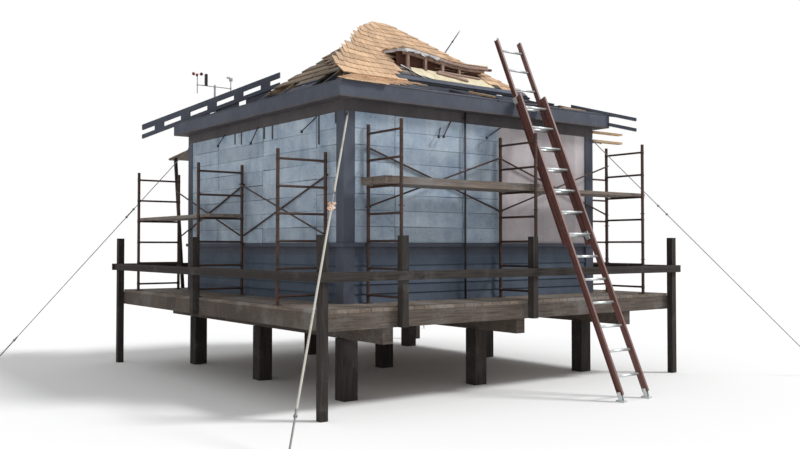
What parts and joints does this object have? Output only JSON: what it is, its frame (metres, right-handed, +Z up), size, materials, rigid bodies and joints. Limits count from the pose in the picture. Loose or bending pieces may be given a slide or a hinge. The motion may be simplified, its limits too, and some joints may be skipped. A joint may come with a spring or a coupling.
{
  "type": "fire lookout cab",
  "caption": "Square hip-roofed fire lookout cab on a low timber deck, shuttered, half re-roofed, with scaffold, an extension ladder and guys.",
  "frame": {"origin": "on the ground under the centre of the cab, at the foot of the middle foundation post", "axes": "+Z up, the front wall with the ladder faces -Y, the left wall faces -X"},
  "size_m": [8.7698, 9.016, 5.1813],
  "materials": {
    "weathered_timber": "matt",
    "floor_board": "matt",
    "painted_board": "matt",
    "frame_timber": "matt",
    "glass": "gloss",
    "shutter_board": "matt",
    "plywood": "matt",
    "roof_timber": "matt",
    "cedar_shingle": "matt",
    "dark_steel": "satin",
    "scaffold_steel": "satin",
    "plank": "matt",
    "ladder_fibreglass": "satin",
    "guy_steel": "satin"
  },
  "bodies": {
    "root": {"foundation_posts": "weathered_timber", "deck_beams": "weathered_timber", "deck_joists": "weathered_timber", "deck_rim": "weathered_timber", "deck_planking": "weathered_timber", "rail_posts": "weathered_timber", "deck_rails": "weathered_timber", "cab_floor": "floor_board", "wall_base_front": "painted_board", "wall_base_back": "painted_board", "wall_base_left": "painted_board", "wall_base_right": "painted_board", "sill_boards": "painted_board", "corner_boards": "painted_board", "frieze_boards": "painted_board", "soffit_boards": "painted_board", "fascia_boards": "painted_board", "window_frame_front": "frame_timber", "window_frame_back": "frame_timber", "window_frame_left": "frame_timber", "window_frame_right": "frame_timber", "window_glass": "glass", "shutters_front": "shutter_board", "shutters_back": "shutter_board", "shutters_left": "shutter_board", "shutters_right": "shutter_board", "raised_shutter": "shutter_board", "plywood_sheets": "plywood", "king_block": "roof_timber", "hip_rafters": "roof_timber", "jack_rafters": "roof_timber", "roof_boards_front": "roof_timber", "roof_boards_right": "roof_timber", "roof_boards_back": "roof_timber", "roof_boards_left": "roof_timber", "hip_tails": "roof_timber", "brow_hood": "roof_timber", "shutter_prop": "roof_timber", "shingles_front": "cedar_shingle", "shingles_upper": "cedar_shingle", "lightning_rod": "dark_steel", "weather_mast": "dark_steel", "scaffold_frames": "scaffold_steel", "scaffold_braces": "scaffold_steel", "scaffold_planks": "plank", "ladder_fly": "ladder_fibreglass", "ladder_base": "ladder_fibreglass", "guy_cables": "guy_steel"}
  },
  "joints": []
}
